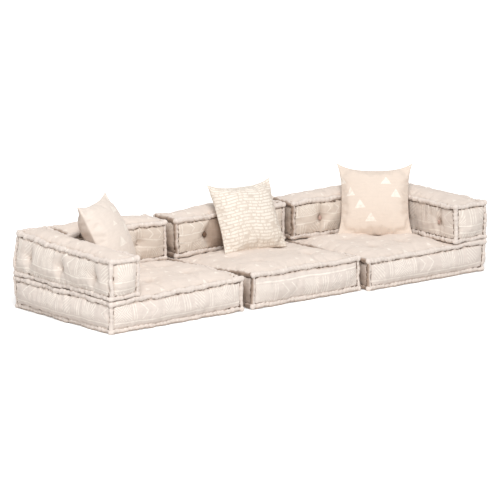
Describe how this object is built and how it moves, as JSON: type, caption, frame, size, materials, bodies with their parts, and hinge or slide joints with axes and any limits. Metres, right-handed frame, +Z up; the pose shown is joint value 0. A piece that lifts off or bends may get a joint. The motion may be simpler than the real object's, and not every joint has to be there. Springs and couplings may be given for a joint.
{
  "type": "modular sofa bed",
  "caption": "Low modular floor sofa of tufted seat mattresses with loose back and arm bolsters and throw pillows; the mattresses part and the bolsters lift off to make a bed.",
  "frame": {"origin": "on the floor, under the middle of the row of seats", "axes": "+X along the row to the right, +Z up, the front of the sofa faces -Y"},
  "size_m": [2.477, 0.86, 0.5486],
  "materials": {
    "printed_cotton": "matt woven cotton, block printed in off-white",
    "cotton_filling": "matt carded cotton",
    "tuft_thread": "matt thread",
    "twine": "matt twine",
    "pillow_cotton": "matt woven cotton with an off-white print",
    "zip_tape": "matt tape"
  },
  "bodies": {
    "seat_middle": {"seat_middle_cover": "printed_cotton", "seat_middle_core": "cotton_filling", "seat_middle_rolled_edges": "printed_cotton", "seat_middle_tufts": "tuft_thread", "seat_middle_ties": "twine"},
    "seat_left": {"seat_left_cover": "printed_cotton", "seat_left_core": "cotton_filling", "seat_left_rolled_edges": "printed_cotton", "seat_left_tufts": "tuft_thread", "seat_left_ties": "twine"},
    "seat_right": {"seat_right_cover": "printed_cotton", "seat_right_core": "cotton_filling", "seat_right_rolled_edges": "printed_cotton", "seat_right_tufts": "tuft_thread", "seat_right_ties": "twine"},
    "back_left": {"back_left_cover": "printed_cotton", "back_left_core": "cotton_filling", "back_left_rolled_edges": "printed_cotton", "back_left_tufts": "tuft_thread", "back_left_ties": "twine"},
    "back_middle": {"back_middle_cover": "printed_cotton", "back_middle_core": "cotton_filling", "back_middle_rolled_edges": "printed_cotton", "back_middle_tufts": "tuft_thread", "back_middle_ties": "twine"},
    "back_right": {"back_right_cover": "printed_cotton", "back_right_core": "cotton_filling", "back_right_rolled_edges": "printed_cotton", "back_right_tufts": "tuft_thread", "back_right_ties": "twine"},
    "arm_left": {"arm_left_cover": "printed_cotton", "arm_left_core": "cotton_filling", "arm_left_rolled_edges": "printed_cotton", "arm_left_tufts": "tuft_thread", "arm_left_ties": "twine"},
    "arm_right": {"arm_right_cover": "printed_cotton", "arm_right_core": "cotton_filling", "arm_right_rolled_edges": "printed_cotton", "arm_right_tufts": "tuft_thread", "arm_right_ties": "twine"},
    "pillow_left": {"pillow_left_cover": "pillow_cotton", "pillow_left_insert": "cotton_filling", "pillow_left_zip": "zip_tape"},
    "pillow_middle": {"pillow_middle_cover": "pillow_cotton", "pillow_middle_insert": "cotton_filling", "pillow_middle_zip": "zip_tape"},
    "pillow_right": {"pillow_right_cover": "pillow_cotton", "pillow_right_insert": "cotton_filling", "pillow_right_zip": "zip_tape"}
  },
  "joints": [
    {"name": "seat_left_apart", "type": "slide", "parent": "seat_middle", "child": "seat_left", "axis": [-1, 0, 0], "range_m": [0, 0.5]},
    {"name": "seat_right_apart", "type": "slide", "parent": "seat_middle", "child": "seat_right", "axis": [1, 0, 0], "range_m": [0, 0.5]},
    {"name": "back_left_off", "type": "slide", "parent": "seat_left", "child": "back_left", "axis": [0, 0.8, 0.6], "range_m": [0, 0.32]},
    {"name": "back_middle_off", "type": "slide", "parent": "seat_middle", "child": "back_middle", "axis": [0, 0.8, 0.6], "range_m": [0, 0.32]},
    {"name": "back_right_off", "type": "slide", "parent": "seat_right", "child": "back_right", "axis": [0, 0.8, 0.6], "range_m": [0, 0.32]},
    {"name": "arm_left_off", "type": "slide", "parent": "seat_left", "child": "arm_left", "axis": [-0.8, 0, 0.6], "range_m": [0, 0.32]},
    {"name": "arm_right_off", "type": "slide", "parent": "seat_right", "child": "arm_right", "axis": [0.8, 0, 0.6], "range_m": [0, 0.32]},
    {"name": "pillow_left_lift", "type": "slide", "parent": "seat_left", "child": "pillow_left", "axis": [0, 0, 1], "range_m": [0, 0.4]},
    {"name": "pillow_middle_lift", "type": "slide", "parent": "seat_middle", "child": "pillow_middle", "axis": [0, 0, 1], "range_m": [0, 0.4]},
    {"name": "pillow_right_lift", "type": "slide", "parent": "seat_right", "child": "pillow_right", "axis": [0, 0, 1], "range_m": [0, 0.4]}
  ]
}
